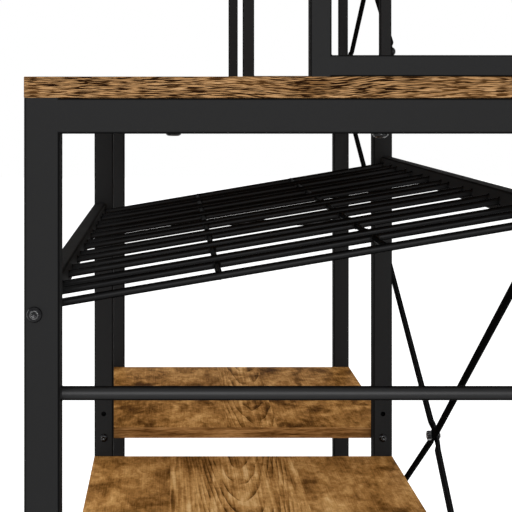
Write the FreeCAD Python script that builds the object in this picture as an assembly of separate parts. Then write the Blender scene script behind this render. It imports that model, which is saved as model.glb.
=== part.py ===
import FreeCAD, Part
import math
import os

from FreeCAD import Placement, Rotation, Vector

# Bakers rack: a steel base of three frames that carries a board worktop, a sloping bottle rack
# and bolted-in shelf boards, with a shallow hutch along the back of the worktop.
# Millimetres, +Z up, +X along the length, -Y towards the user. The origin is on the floor
# under the middle of the rack.

# Overall sizes
length = 1200.0
depth = 400.0
worktop_height = 900.0
total_height = 1600.0
hutch_depth = 200.0
right_bay = 755.0

# Boards: faced chipboard with softened edges
board_thickness = 15.0
board_edge_bevel = 0.8

# Square tube of the base frames
post_size = 25.0
post_wall = 1.2
post_corner = 2.2
bottom_rail_height = 45.0

# Square tube of the hutch frames
hutch_post_size = 15.0
hutch_wall = 1.0
hutch_corner = 1.6

# Shelf heights at mid-board in the right bay, left-bay boards are bolted one hole higher
bottom_shelf_height = 120.0
shelf_spacing = 277.0
hutch_shelf_rise = 342.5
hole_pitch = 32.0

# Round guard rods across the two end frames, placed between one level and the next
guard_rod = 10.0
upper_guard_share = 0.603
lower_guard_share = 0.487

# Bottle rack: two rectangular tubes with round rods welded between them in pairs
bottle_count = 8
cradle_width = 59.0
rack_tube_width = 15.0
rack_tube_height = 20.0
rack_wall = 1.0
rack_corner = 1.6
rack_headroom = 78.5
rack_rise = 62.5
rack_rod = 6.0
cross_rod = 5.0
cross_rod_shares = (1 / 3, 2 / 3)
weld_gap = 0.1

# Cross braces: round rods pressed flat where they are bolted, the long ones bowed out at the back
brace_rod = 7.5
brace_clear = 0.3
brace_flat_width = 12.0
brace_flat_thickness = 2.8
brace_flat_ease = 0.8
brace_flat_past = 5.0
brace_press_run = 12.0
brace_eye_run = 24.0
base_brace_drop = 40.0
base_brace_bottom = 105.0
base_brace_bow = 13.0
hutch_brace_rise = 250.0
hutch_brace_foot = 48.0
hutch_brace_bow = 0.0

# Button-head bolts and their nuts
bolt = 6.0
bolt_clear = 0.6
bolt_head = 11.0
bolt_head_height = 3.3
thread_gap = 0.1
nut_width = 10.0
nut_height = 5.0
insert_diameter = 9.0
insert_length = 18.0
insert_gap = 0.1
rack_nut_length = 14.0
rack_nut_gap = 0.1
brace_bolt_length = 12.0

# Wafer-head screws that hold boards down on the frames
screw = 4.0
screw_clear = 0.6
screw_head = 10.8
screw_head_height = 1.8
screw_bite = 11.0
screw_gap = 0.1
worktop_screw_setback = 104.5
hutch_bolt_spacing = 100.0
top_screw_spacing = 100.0

# Levelling feet and the plastic inserts in the posts' lower ends
foot_pad = 21.0
foot_pad_height = 7.0
foot_pad_bevel = 1.5
foot_stud = 8.0
foot_stud_length = 36.0
foot_stud_gap = 0.3
insert_flange = 3.0
plug_length = 24.0
plug_gap = 0.2

# Round stock has few sides: fewest where it is hidden in a post or a board
hidden_sides = 6
brace_sides = 8
head_sides = 12
rod_sides = 8
corner_sides = 2

# One overrun serves every cut
overrun = 1.0

# Places worked out from the sizes above
bolt_hole = bolt + bolt_clear
screw_hole = screw + screw_clear
brace_reach = brace_clear + brace_rod + base_brace_bow + bolt_head_height
front = -(depth + brace_reach) / 2
back = front + depth
right_end = length / 2
left_end = -length / 2
post_bottom = foot_pad_height + insert_flange
post_top = worktop_height - board_thickness
hutch_front = back - hutch_depth
hutch_middle = (hutch_front + back) / 2
hutch_top_height = total_height - board_thickness
middle_frame = right_end - post_size - right_bay - post_size / 2
base_frames = {
    "right": right_end - post_size / 2,
    "middle": middle_frame,
    "left": left_end + post_size / 2,
}
hutch_frames = {
    "right": right_end - hutch_post_size / 2,
    "middle": middle_frame,
    "left": left_end + hutch_post_size / 2,
}
base_rows = {"front": front + post_size / 2, "back": back - post_size / 2}
hutch_rows = {"front": hutch_front + hutch_post_size / 2, "back": back - hutch_post_size / 2}
rack_rows = {"front": front + rack_tube_width / 2, "back": back - rack_tube_width / 2}
rack_back_height = post_top - rack_headroom - rack_tube_height / 2
rack_front_height = rack_back_height - rack_rise
rack_heights = {"front": rack_front_height, "back": rack_back_height}
top_rail_underside = post_top - post_size
middle_shelf_height = bottom_shelf_height + shelf_spacing
guard_heights = (
    middle_shelf_height + upper_guard_share * (top_rail_underside - middle_shelf_height),
    bottom_shelf_height + lower_guard_share * (middle_shelf_height - bottom_shelf_height),
)
hutch_shelf_height = worktop_height + hutch_shelf_rise
right_heights = (middle_shelf_height, bottom_shelf_height)
left_heights = tuple(height + hole_pitch for height in right_heights)
spare_height = middle_shelf_height + 2 * hole_pitch
post_holes = {
    "right": right_heights,
    "middle": right_heights + left_heights,
    "left": left_heights,
}
hutch_holes = {
    "right": (hutch_shelf_height,),
    "middle": (hutch_shelf_height, hutch_shelf_height + hole_pitch),
    "left": (hutch_shelf_height + hole_pitch,),
}
hutch_brace_bottom = worktop_height + hutch_brace_foot
hutch_brace_top = hutch_brace_bottom + hutch_brace_rise
brace_heights = (worktop_height - base_brace_drop, base_brace_bottom)
hutch_brace_heights = (hutch_brace_top, hutch_brace_bottom)
hutch_bolt_rows = (hutch_middle - hutch_bolt_spacing / 2, hutch_middle + hutch_bolt_spacing / 2)
top_screw_rows = (hutch_middle - top_screw_spacing / 2, hutch_middle + top_screw_spacing / 2)
worktop_screw_row = front + worktop_screw_setback

along_x = Vector(1, 0, 0)
along_y = Vector(0, 1, 0)
up = Vector(0, 0, 1)
nodes = {}


def keep(name, solids):
    """File one solid, or a list of like solids as a group, under a node name."""
    nodes[name] = Part.makeCompound(solids) if isinstance(solids, list) else solids


def laid(shape, start, direction):
    """Turn a shape made along +Z so that it starts at a point and runs along a direction."""
    shape.Placement = Placement(start, Rotation(up, direction))
    return shape


def prism(reach, run, sides):
    """A regular prism along +Z with a flat towards +X, its corners at a reach from its axis."""
    corners = []
    for step in range(sides + 1):
        turn = 2 * math.pi * (step + 0.5) / sides
        corners.append(Vector(reach * math.cos(turn), reach * math.sin(turn), 0))
    return Part.Face(Part.makePolygon(corners)).extrude(up * run)


def drilled(solid, start, direction, diameter, run, sides=hidden_sides):
    """Cut a hole that starts at a point and runs along a direction."""
    reach = diameter / 2 / math.cos(math.pi / sides)
    bore = prism(reach, run + 2 * overrun, sides)
    return solid.cut(laid(bore, start - direction * overrun, direction))


def round_bar(diameter, run):
    """A round bar along +Z, as wide across its flats as stated."""
    return prism(diameter / 2 / math.cos(math.pi / rod_sides), run, rod_sides)


def rounded_bar(width, height, corner, run):
    """A bar along +Z of rectangular section, centred on its axis, with each corner turned in flats."""
    points = []
    for quarter, (side, rise) in enumerate(((1, 1), (-1, 1), (-1, -1), (1, -1))):
        for step in range(corner_sides + 1):
            turn = math.pi / 2 * (quarter + step / corner_sides)
            points.append(Vector(side * (width / 2 - corner) + corner * math.cos(turn),
                                 rise * (height / 2 - corner) + corner * math.sin(turn), 0))
    return Part.Face(Part.makePolygon(points + points[:1])).extrude(up * run)


def tube(width, height, wall, corner, run):
    """A rolled tube along +Z, open at both ends."""
    inside = Part.makeBox(width - 2 * wall, height - 2 * wall, run,
                          Vector(wall - width / 2, wall - height / 2, 0))
    return rounded_bar(width, height, corner, run).cut(inside)


def hexagon(width, run):
    """A six-sided prism along +Z, as wide across its flats as stated."""
    return prism(width / math.sqrt(3), run, 6)


def headed(head_diameter, head_height, shank_diameter, shank_length):
    """A head below the origin with a shank along +Z."""
    head = prism(head_diameter / 2, head_height, head_sides)
    head.translate(-up * head_height)
    shank = prism(shank_diameter / 2, shank_length, hidden_sides)
    return head.fuse(shank).removeSplitter()


def button_bolt(shank_length, seat, direction):
    """A button-head bolt: its head sits on the seat and its shank runs along the direction."""
    return laid(headed(bolt_head, bolt_head_height, bolt, shank_length), seat, direction)


def wafer_screw(shank_length, seat, direction):
    """A wood screw with a thin flat head that sits on the seat."""
    return laid(headed(screw_head, screw_head_height, screw, shank_length), seat, direction)


def hex_nut(seat, direction):
    """A nut that sits on the seat and stands along the direction."""
    body = drilled(hexagon(nut_width, nut_height), Vector(), up, bolt + 2 * thread_gap, nut_height)
    return laid(body, seat, direction)


def base_post(frame, row):
    """One leg of a base frame, drilled for the shelf bolts, the bottle rack and the brace."""
    x = base_frames[frame]
    y = base_rows[row]
    side = x - post_size / 2
    post = tube(post_size, post_size, post_wall, post_corner, post_top - post_bottom)
    post.translate(Vector(x, y, post_bottom))
    for height in post_holes[frame]:
        post = drilled(post, Vector(side, y, height), along_x, bolt_hole, post_size)
    if frame == "middle":
        spare = Vector(side, y, spare_height)
        post = drilled(post, spare, along_x, bolt_hole, post_size, head_sides)
    if frame != "left":
        centre = Vector(side, rack_rows[row], rack_heights[row])
        post = drilled(post, centre, along_x, bolt_hole, post_size)
    if row == "back" and frame != "middle":
        for height in brace_heights:
            post = drilled(post, Vector(x, back, height), -along_y, bolt_hole, post_wall)
    return post


def base_rail(frame, underside):
    """A cross tube welded between the front and back legs of a base frame."""
    run = depth - 2 * post_size
    rail = tube(post_size, post_size, post_wall, post_corner, run)
    start = Vector(base_frames[frame], front + post_size, underside + post_size / 2)
    return laid(rail, start, along_y)


def base_top_rail(frame):
    """The upper cross tube of a base frame, drilled for the worktop and hutch fasteners."""
    rail = base_rail(frame, top_rail_underside)
    screw_seat = Vector(base_frames[frame], worktop_screw_row, top_rail_underside)
    rail = drilled(rail, screw_seat, up, screw_hole, post_size)
    for row in hutch_bolt_rows:
        seat = Vector(hutch_frames[frame], row, top_rail_underside)
        rail = drilled(rail, seat, up, bolt_hole, post_size)
    return rail


def hutch_post(frame, row):
    """One upright of a hutch frame, drilled for its shelf bolts and brace."""
    x = hutch_frames[frame]
    y = hutch_rows[row]
    side = x - hutch_post_size / 2
    run = hutch_top_height - worktop_height
    post = tube(hutch_post_size, hutch_post_size, hutch_wall, hutch_corner, run)
    post.translate(Vector(x, y, worktop_height))
    for height in hutch_holes[frame]:
        post = drilled(post, Vector(side, y, height), along_x, bolt_hole, hutch_post_size)
    if row == "back" and frame != "right":
        for height in hutch_brace_heights:
            post = drilled(post, Vector(x, back, height), -along_y, bolt_hole, hutch_wall)
    return post


def hutch_rail(frame, underside, hole, rows, run):
    """A cross tube of a hutch frame, drilled upwards from its underside."""
    rail = tube(hutch_post_size, hutch_post_size, hutch_wall, hutch_corner,
                hutch_depth - 2 * hutch_post_size)
    x = hutch_frames[frame]
    start = Vector(x, hutch_front + hutch_post_size, underside + hutch_post_size / 2)
    rail = laid(rail, start, along_y)
    for row in rows:
        rail = drilled(rail, Vector(x, row, underside), up, hole, run)
    return rail


def board(left, right, near, far, underside):
    """A shelf board with softened edges."""
    corner = Vector(left, near, underside)
    slab = Part.makeBox(right - left, far - near, board_thickness, corner)
    return slab.makeChamfer(board_edge_bevel, slab.Edges)


def shelf(left, right, rows, near, height):
    """A board bored at both ends for the threaded inserts that take its bolts."""
    slab = board(left, right, near, back, height - board_thickness / 2)
    for row in rows.values():
        for end, inward in ((left, along_x), (right, -along_x)):
            seat = Vector(end, row, height)
            slab = drilled(slab, seat, inward, insert_diameter + 2 * insert_gap, insert_length)
    return slab


def shelf_insert(seat, inward):
    """A six-sided threaded sleeve pressed into the end of a board."""
    sleeve = hexagon(insert_diameter, insert_length)
    sleeve = drilled(sleeve, Vector(), up, bolt + 2 * thread_gap, insert_length)
    return laid(sleeve, seat, inward)


def shelf_fixings(left, right, rows, height, post):
    """Bolts through the posts at both ends of a shelf, and the inserts that they screw into."""
    bolts = []
    inserts = []
    for row in rows.values():
        for end, inward in ((left, along_x), (right, -along_x)):
            face = Vector(end, row, height)
            bolts.append(button_bolt(post + insert_length, face - inward * post, inward))
            inserts.append(shelf_insert(face, inward))
    return bolts, inserts


def rack_tube(row):
    """A rectangular tube along one side of the bottle rack."""
    run = tube(rack_tube_height, rack_tube_width, rack_wall, rack_corner, right_bay)
    return laid(run, Vector(rack_left, rack_rows[row], rack_heights[row]), along_x)


def rack_tube_nut(row, end, inward):
    """A threaded block welded into the end of a rack tube."""
    tall = rack_tube_height - 2 * (rack_wall + rack_nut_gap)
    wide = rack_tube_width - 2 * (rack_wall + rack_nut_gap)
    block = Part.makeBox(tall, wide, rack_nut_length, Vector(-tall / 2, -wide / 2, 0))
    block = drilled(block, Vector(), up, bolt + 2 * thread_gap, rack_nut_length)
    return laid(block, Vector(end, rack_rows[row], rack_heights[row]), inward)


def rack_rod_at(x):
    """One sloping rod, cut flush with the faces of the two tubes that it is welded between."""
    slope = Vector(0, rack_span, rack_back_height - rack_front_height)
    direction = Vector(slope).normalize()
    spare = direction * rack_rod
    start = Vector(x, rack_near, rack_front_height) - spare
    rod = laid(round_bar(rack_rod, slope.Length + 2 * rack_rod), start, direction)
    low = Vector(x - rack_rod, rack_near, rack_front_height - rack_tube_height)
    return rod.common(Part.makeBox(2 * rack_rod, rack_span, rack_back_height, low))


def rack_cross_rod(cradle, share):
    """A short rod welded between the two rods of a cradle, at a share of their length."""
    rise = rack_back_height - rack_front_height
    reach = (cradle_width - rack_rod) / 2 - weld_gap
    start = Vector(cradle - reach, rack_near + share * rack_span, rack_front_height + share * rise)
    return laid(round_bar(cross_rod, 2 * reach), start, along_x)


def brace_section(place, near, far, width, ease):
    """The outline of a brace at a place along it, with its corners eased into an octagon."""
    middle = (near + far) / 2
    points = []
    for step in range(brace_sides + 1):
        turn = 2 * math.pi * (step + 0.5) / brace_sides
        is_side = abs(math.cos(turn)) > abs(math.sin(turn))
        out = (far - near) / 2 - (0 if is_side else ease)
        rise = width / 2 - (ease if is_side else 0)
        points.append(Vector(place, middle + math.copysign(out, math.cos(turn)),
                             math.copysign(rise, math.sin(turn))))
    return points


def skinned(outlines):
    """A solid with flat sides, run through a row of outlines whose sides are parallel."""
    faces = [Part.Face(Part.makePolygon(outline)) for outline in (outlines[0], outlines[-1])]
    for near, far in zip(outlines, outlines[1:]):
        for step in range(brace_sides):
            corners = [near[step], near[step + 1], far[step + 1], far[step], near[step]]
            faces.append(Part.Face(Part.makePolygon(corners)))
    return Part.makeSolid(Part.makeShell(faces))


def brace(start, end, post, eye_near, bow):
    """A rod bolted at both ends to posts of the stated size, bowed out to a flat eye at its middle."""
    span = end - start
    half = span.Length / 2
    lean = abs(span.x) / span.Length
    flat = post / 2 / lean + brace_flat_past
    round_start = flat + brace_press_run
    eye_start = half - brace_eye_run / 2
    round_end = eye_start - brace_press_run
    width = brace_flat_width
    eye_far = eye_near + brace_rod / 2
    rod_near = brace_clear
    rod_far = brace_clear + brace_rod
    rod_ease = brace_rod / 2 * (1 - math.tan(math.pi / brace_sides))
    tip = laid(round_bar(width, brace_flat_thickness), Vector(), along_y)
    sections = [
        brace_section(0, 0, brace_flat_thickness, width, brace_flat_ease),
        brace_section(flat, 0, brace_flat_thickness, width, brace_flat_ease),
        brace_section(round_start, rod_near, rod_far, brace_rod, rod_ease),
        brace_section(round_end, bow + rod_near, bow + rod_far, brace_rod, rod_ease),
        brace_section(eye_start, bow + eye_near, bow + eye_far, width, brace_flat_ease),
        brace_section(half, bow + eye_near, bow + eye_far, width, brace_flat_ease),
    ]
    side = skinned(sections).fuse(tip)
    whole = side.fuse(side.mirror(Vector(half, 0, 0), along_x)).removeSplitter()
    for place in (0, half, 2 * half):
        whole = drilled(whole, Vector(place, 0, 0), along_y, bolt_hole, bow + rod_far)
    whole.Placement = Placement(start, Rotation(along_x, span))
    return whole


def brace_pair(name, left, right, heights, post, bow):
    """Two crossing braces, with the bolts and nuts at their ends and at the crossing."""
    top, bottom = heights
    corners = [Vector(x, back, z) for x in (left, right) for z in (bottom, top)]
    keep(name + "_front_rod", brace(corners[0], corners[3], post, brace_clear, bow))
    keep(name + "_rear_rod", brace(corners[1], corners[2], post, brace_axis, bow))
    outer = along_y * brace_flat_thickness
    ends = [button_bolt(brace_bolt_length, corner + outer, -along_y) for corner in corners]
    middle = (corners[0] + corners[3]) / 2 + along_y * (bow + brace_clear)
    grip = brace_rod + nut_height
    centre = [button_bolt(grip, middle + along_y * brace_rod, -along_y), hex_nut(middle, -along_y)]
    return corners, ends, centre


def foot(x, y):
    """A levelling foot: a six-sided pad on a threaded stud, screwed right in."""
    pad = hexagon(foot_pad, foot_pad_height)
    rim = [edge for edge in pad.Edges if edge.BoundBox.ZMax < foot_pad_height / 2]
    pad = pad.makeChamfer(foot_pad_bevel, rim)
    stud = prism(foot_stud / 2, foot_stud_length - foot_pad_height, head_sides)
    stud.translate(up * foot_pad_height)
    whole = pad.fuse(stud).removeSplitter()
    whole.translate(Vector(x, y, 0))
    return whole


def foot_insert(x, y):
    """A flanged plastic plug in the lower end of a post, threaded for the foot."""
    inside = post_size - 2 * (post_wall + plug_gap)
    flange = rounded_bar(post_size, post_size, post_corner, insert_flange)
    plug = Part.makeBox(inside, inside, plug_length, Vector(-inside / 2, -inside / 2, 0))
    whole = flange.fuse(plug).removeSplitter()
    whole = drilled(whole, Vector(), up, foot_stud + 2 * foot_stud_gap, plug_length)
    whole.translate(Vector(x, y, foot_pad_height))
    return whole


# Base frames, with a levelling foot under each leg
inserts_in_posts = []
for frame, frame_x in base_frames.items():
    for row, row_y in base_rows.items():
        keep(f"{frame}_{row}_post", base_post(frame, row))
        keep(f"{frame}_{row}_foot", foot(frame_x, row_y))
        inserts_in_posts.append(foot_insert(frame_x, row_y))
    keep(f"{frame}_top_rail", base_top_rail(frame))
    keep(f"{frame}_bottom_rail", base_rail(frame, bottom_rail_height))
keep("post_inserts", inserts_in_posts)

# Guard rods of the end frames
guard_run = depth - 2 * post_size
for frame in ("right", "left"):
    rods = []
    for height in guard_heights:
        start = Vector(base_frames[frame], front + post_size, height)
        rods.append(laid(round_bar(guard_rod, guard_run), start, along_y))
    keep(f"{frame}_guard_rods", rods)

# Worktop, screwed down at the front and clamped by the hutch bolts at the back
worktop = board(left_end, right_end, front, back, post_top)
worktop_screws = []
for frame, frame_x in base_frames.items():
    underside = Vector(frame_x, worktop_screw_row, post_top)
    worktop = drilled(worktop, underside, up, screw + 2 * screw_gap, screw_bite - overrun + screw_gap)
    worktop_screws.append(wafer_screw(post_size + screw_bite, underside - up * post_size, up))
    for row in hutch_bolt_rows:
        underside = Vector(hutch_frames[frame], row, post_top)
        worktop = drilled(worktop, underside, up, bolt_hole, board_thickness)
keep("worktop", worktop)
keep("worktop_screws", worktop_screws)

# Shelf boards of the base and the hutch, each bolted between two frames
shelf_bolts = []
shelf_inserts = []
base_sides = {
    "right": (middle_frame + post_size / 2, right_end - post_size, 0),
    "left": (left_end + post_size, middle_frame - post_size / 2, hole_pitch),
}
hutch_sides = {
    "right": (middle_frame + hutch_post_size / 2, right_end - hutch_post_size, 0),
    "left": (left_end + hutch_post_size, middle_frame - hutch_post_size / 2, hole_pitch),
}
levels = (
    ("middle_shelf", base_sides, base_rows, front, middle_shelf_height, post_size),
    ("bottom_shelf", base_sides, base_rows, front, bottom_shelf_height, post_size),
    ("hutch_shelf", hutch_sides, hutch_rows, hutch_front, hutch_shelf_height, hutch_post_size),
)
for level, sides, rows, near, height, post in levels:
    for side, (left, right, lift) in sides.items():
        keep(f"{side}_{level}", shelf(left, right, rows, near, height + lift))
        bolts, inserts = shelf_fixings(left, right, rows, height + lift, post)
        shelf_bolts += bolts
        shelf_inserts += inserts
keep("shelf_bolts", shelf_bolts)
keep("shelf_inserts", shelf_inserts)

# Bottle rack, hung between the right and middle frames
rack_left = middle_frame + post_size / 2
rack_right = right_end - post_size
rack_near = front + rack_tube_width
rack_span = depth - 2 * rack_tube_width
bottle_pitch = right_bay / bottle_count
rod_places = []
cross_rods = []
for bottle in range(bottle_count):
    cradle = rack_left + (bottle + 0.5) * bottle_pitch
    rod_places += [cradle - cradle_width / 2, cradle + cradle_width / 2]
    cross_rods += [rack_cross_rod(cradle, share) for share in cross_rod_shares]
keep("rack_rods", [rack_rod_at(place) for place in rod_places])
keep("rack_cross_rods", cross_rods)
rack_nuts = []
rack_bolts = []
for row in rack_rows:
    keep(f"rack_{row}_tube", rack_tube(row))
    for end, inward in ((rack_left, along_x), (rack_right, -along_x)):
        rack_nuts.append(rack_tube_nut(row, end, inward))
        seat = Vector(end, rack_rows[row], rack_heights[row]) - inward * post_size
        rack_bolts.append(button_bolt(post_size + rack_nut_length, seat, inward))
keep("rack_tube_nuts", rack_nuts)
keep("rack_bolts", rack_bolts)

# Hutch frames on the worktop, bolted up through the base rails, with the top board over them
hutch_bolts = []
weld_nuts = []
top_screws = []
hutch_rail_top = hutch_top_height - hutch_post_size
top_board = board(left_end, right_end, hutch_front, back, hutch_top_height)
for frame, frame_x in hutch_frames.items():
    for row in hutch_rows:
        keep(f"{frame}_hutch_{row}_post", hutch_post(frame, row))
    keep(f"{frame}_hutch_bottom_rail",
         hutch_rail(frame, worktop_height, bolt_hole, hutch_bolt_rows, hutch_wall))
    keep(f"{frame}_hutch_top_rail",
         hutch_rail(frame, hutch_rail_top, screw_hole, top_screw_rows, hutch_post_size))
    for row in hutch_bolt_rows:
        grip = post_size + board_thickness + hutch_wall + nut_height
        hutch_bolts.append(button_bolt(grip, Vector(frame_x, row, top_rail_underside), up))
        weld_nuts.append(hex_nut(Vector(frame_x, row, worktop_height + hutch_wall), up))
    for row in top_screw_rows:
        underside = Vector(frame_x, row, hutch_top_height)
        pilot = screw_bite - overrun + screw_gap
        top_board = drilled(top_board, underside, up, screw + 2 * screw_gap, pilot)
        seat = underside - up * hutch_post_size
        top_screws.append(wafer_screw(hutch_post_size + screw_bite, seat, up))
keep("hutch_top", top_board)
keep("hutch_bolts", hutch_bolts)
keep("hutch_top_screws", top_screws)

# Cross braces behind the base and behind the left bay of the hutch
brace_axis = brace_clear + brace_rod / 2
base_corners, base_ends, base_centre = brace_pair(
    "base_brace", base_frames["left"], base_frames["right"], brace_heights, post_size, base_brace_bow)
hutch_corners, hutch_ends, hutch_centre = brace_pair(
    "hutch_brace", hutch_frames["left"], hutch_frames["middle"], hutch_brace_heights, hutch_post_size,
    hutch_brace_bow)
for corners, wall in ((base_corners, post_wall), (hutch_corners, hutch_wall)):
    weld_nuts += [hex_nut(corner - along_y * wall, -along_y) for corner in corners]
keep("brace_bolts", base_ends + hutch_ends)
keep("brace_centre_bolts", base_centre + hutch_centre)
keep("weld_nuts", weld_nuts)

os.makedirs("parts", exist_ok=True)
for name, shape in nodes.items():
    shape.exportStep(f"parts/{name}.step")
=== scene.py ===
import math

import bmesh
import bpy
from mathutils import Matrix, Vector


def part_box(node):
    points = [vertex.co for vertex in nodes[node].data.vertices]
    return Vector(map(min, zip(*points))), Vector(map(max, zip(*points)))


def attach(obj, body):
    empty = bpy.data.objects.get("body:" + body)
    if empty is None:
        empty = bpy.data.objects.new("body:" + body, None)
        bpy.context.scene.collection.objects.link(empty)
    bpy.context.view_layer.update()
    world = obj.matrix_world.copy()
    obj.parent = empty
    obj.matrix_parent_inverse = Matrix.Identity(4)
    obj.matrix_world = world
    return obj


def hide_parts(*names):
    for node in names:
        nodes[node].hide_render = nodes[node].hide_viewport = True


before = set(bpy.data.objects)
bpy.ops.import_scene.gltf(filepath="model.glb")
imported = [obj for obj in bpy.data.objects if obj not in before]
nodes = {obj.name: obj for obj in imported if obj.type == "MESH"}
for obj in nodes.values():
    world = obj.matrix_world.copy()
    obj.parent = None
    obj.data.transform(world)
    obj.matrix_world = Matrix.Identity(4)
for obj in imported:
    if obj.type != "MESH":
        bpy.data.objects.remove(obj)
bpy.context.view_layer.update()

# Posts of the base and of the hutch: rolled square steel tube, sawn to length and drilled for the
# shelf bolts. After welding the frames get one coat of black powder, baked to a satin skin with a
# fine pebble, a little greyer where it is thin. The round corners are darkened to near black as
# painted shade.
posts = [name for name in nodes if name.endswith("_post")]
base_corner = 0.0022
base_wall = 0.0012
hutch_corner = 0.0016
hutch_wall = 0.001
corner_steps = 5
bolt_hole = 0.0066
round_sides = 32
smooth_up_to = 35
sideways = Vector((1, 0, 0))
inwards = Vector((0, 1, 0))
upright = Vector((0, 0, 1))
powder_deep = (0.0153, 0.0153, 0.0155, 1)
powder_thin = (0.0222, 0.0222, 0.0225, 1)
# Near black for the round corners of the tubes: painted shade
painted_corner_shade = (0.002, 0.002, 0.002, 1)
thin_edge_width = 0.0012
pebbles_per_cloud = 90


def shader_node(tree, kind, inputs=None, **options):
    """Add a node to a tree, set its options, and fill or link its inputs."""
    node = tree.nodes.new("ShaderNode" + kind)
    for option, value in options.items():
        setattr(node, option, value)
    for socket, value in (inputs or {}).items():
        if isinstance(value, bpy.types.NodeSocket):
            tree.links.new(value, node.inputs[socket])
        else:
            node.inputs[socket].default_value = value
    return node


def sums(tree, operation, first, second=0.0, third=0.0):
    """One step of arithmetic on values or sockets, given back as a socket."""
    return shader_node(tree, "Math", {0: first, 1: second, 2: third}, operation=operation).outputs[0]


def shader_group(name, inputs, outputs):
    """Start a node group with named inputs, each with its usual value, and named outputs."""
    tree = bpy.data.node_groups.new(name, "ShaderNodeTree")
    for label, usual in inputs.items():
        kind = "Float" if isinstance(usual, float) else "Vector"
        socket = tree.interface.new_socket(label, in_out="INPUT", socket_type="NodeSocket" + kind)
        socket.default_value = usual
    for label, kind in outputs.items():
        tree.interface.new_socket(label, in_out="OUTPUT", socket_type="NodeSocket" + kind)
    given = tree.nodes.new("NodeGroupInput").outputs
    result = tree.nodes.new("NodeGroupOutput").inputs
    return tree, given, result


def placed_group(tree, group, inputs):
    """Put a node group into a material with its own values."""
    return shader_node(tree, "Group", inputs, node_tree=group).outputs


def blended(tree, amount, first, second):
    """Mix two colours by an amount, given back as a socket."""
    return shader_node(tree, "Mix", {0: amount, 6: first, 7: second}, data_type="RGBA").outputs[2]


def new_material(name):
    """A material, its node tree and the inputs of its Principled surface."""
    material = bpy.data.materials.new(name)
    material.use_nodes = True
    tree = material.node_tree
    return material, tree, tree.nodes["Principled BSDF"].inputs


# The pebble of baked powder: fine bumps, with a slow cloudiness from uneven spraying
pebble, given, result = shader_group(
    "powder_pebble", {"Pebble size": 0.001, "Cloud size": 0.1}, {"Height": "Float", "Cloud": "Float"})
place = shader_node(pebble, "TexCoord").outputs["Object"]
for output, size, detail in (("Height", "Pebble size", 2.0), ("Cloud", "Cloud size", 3.0)):
    noise = shader_node(pebble, "TexNoise", {
        "Vector": place, "Scale": sums(pebble, "DIVIDE", 1.0, given[size]), "Detail": detail})
    pebble.links.new(noise.outputs[0], result[output])

# The line along an edge, found where the surface turns within a small width
edge_line, given, result = shader_group("edge_line", {"Width": 0.001}, {"Mask": "Float"})
turned = shader_node(edge_line, "Bevel", {"Radius": given["Width"]}, samples=4)
facing = shader_node(edge_line, "NewGeometry")
agreement = shader_node(edge_line, "VectorMath", {
    0: turned.outputs[0], 1: facing.outputs["Normal"]}, operation="DOT_PRODUCT")
edge_mask = shader_node(edge_line, "MapRange", {
    "Value": agreement.outputs["Value"], "From Min": 0.99, "From Max": 0.8})
edge_line.links.new(edge_mask.outputs[0], result["Mask"])

# Painted shade on the round corners of square tube, found where the surface faces none of the three
# main ways
corner_shade_mask, given, result = shader_group("corner_shade_mask", {"Strength": 1.0}, {"Mask": "Float"})
facing = shader_node(corner_shade_mask, "NewGeometry")
parts = shader_node(corner_shade_mask, "VectorMath", {0: facing.outputs["Normal"]}, operation="ABSOLUTE")
along_x, along_y, along_z = shader_node(corner_shade_mask, "SeparateXYZ", {0: parts.outputs[0]}).outputs
squareness = sums(corner_shade_mask, "MAXIMUM", sums(corner_shade_mask, "MAXIMUM", along_x, along_y), along_z)
corner_mask = shader_node(corner_shade_mask, "MapRange", {
    "Value": squareness, "From Min": 0.97, "From Max": 0.82})
corner_share = sums(corner_shade_mask, "MULTIPLY", corner_mask.outputs[0], given["Strength"])
corner_shade_mask.links.new(corner_share, result["Mask"])


def coated(name, deep, thin, roughness, satin, pebble_size, pebble_depth, corners=0.0):
    """A sprayed or moulded dark finish: two tones, an uneven satin gloss, a fine pebble and, as far as
    asked, painted shade on round corners.
    """
    material, tree, surface = new_material(name)
    surface["Metallic"].default_value = satin
    surface["Specular Tint"].default_value = (0, 0, 0, 1)
    surface["Specular IOR Level"].default_value = 0.004
    grain = placed_group(tree, pebble, {
        "Pebble size": pebble_size, "Cloud size": pebbles_per_cloud * pebble_size})
    edges = placed_group(tree, edge_line, {"Width": thin_edge_width})
    cloudy = sums(tree, "MULTIPLY_ADD", grain["Cloud"], 0.5, -0.1)
    thinness = sums(tree, "MULTIPLY_ADD", edges["Mask"], 0.2, cloudy)
    # Painted shade: the round corners are mixed towards near black
    corner_shade = placed_group(tree, corner_shade_mask, {"Strength": corners})["Mask"]
    shade = blended(tree, corner_shade, blended(tree, thinness, deep, thin), painted_corner_shade)
    tree.links.new(shade, surface["Base Color"])
    gloss = sums(tree, "MULTIPLY_ADD", grain["Cloud"], 0.16, roughness - 0.08)
    tree.links.new(gloss, surface["Roughness"])
    relief = shader_node(tree, "Bump", {
        "Height": grain["Height"], "Strength": 0.5, "Distance": pebble_depth})
    tree.links.new(relief.outputs[0], surface["Normal"])
    return material


# The tubes get painted shade on their round corners
powder_coat = coated("powder_coat", powder_deep, powder_thin, roughness=0.6, satin=0.4,
                     pebble_size=0.0009, pebble_depth=0.00006, corners=0.8)


def add_loft(shape, rings, looped=False):
    """Skin a run of rings into a shape, with closed ends or joined into a loop."""
    points, faces = shape
    first = len(points)
    count = len(rings[0])
    for ring in rings:
        points.extend(ring)
    spans = len(rings) if looped else len(rings) - 1
    for span in range(spans):
        near = first + span * count
        far = first + (span + 1) % len(rings) * count
        for step in range(count):
            after = (step + 1) % count
            faces.append((near + step, near + after, far + after, far + step))
    if not looped:
        last = first + (len(rings) - 1) * count
        faces.append(tuple(range(first + count - 1, first - 1, -1)))
        faces.append(tuple(range(last, last + count)))


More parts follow.
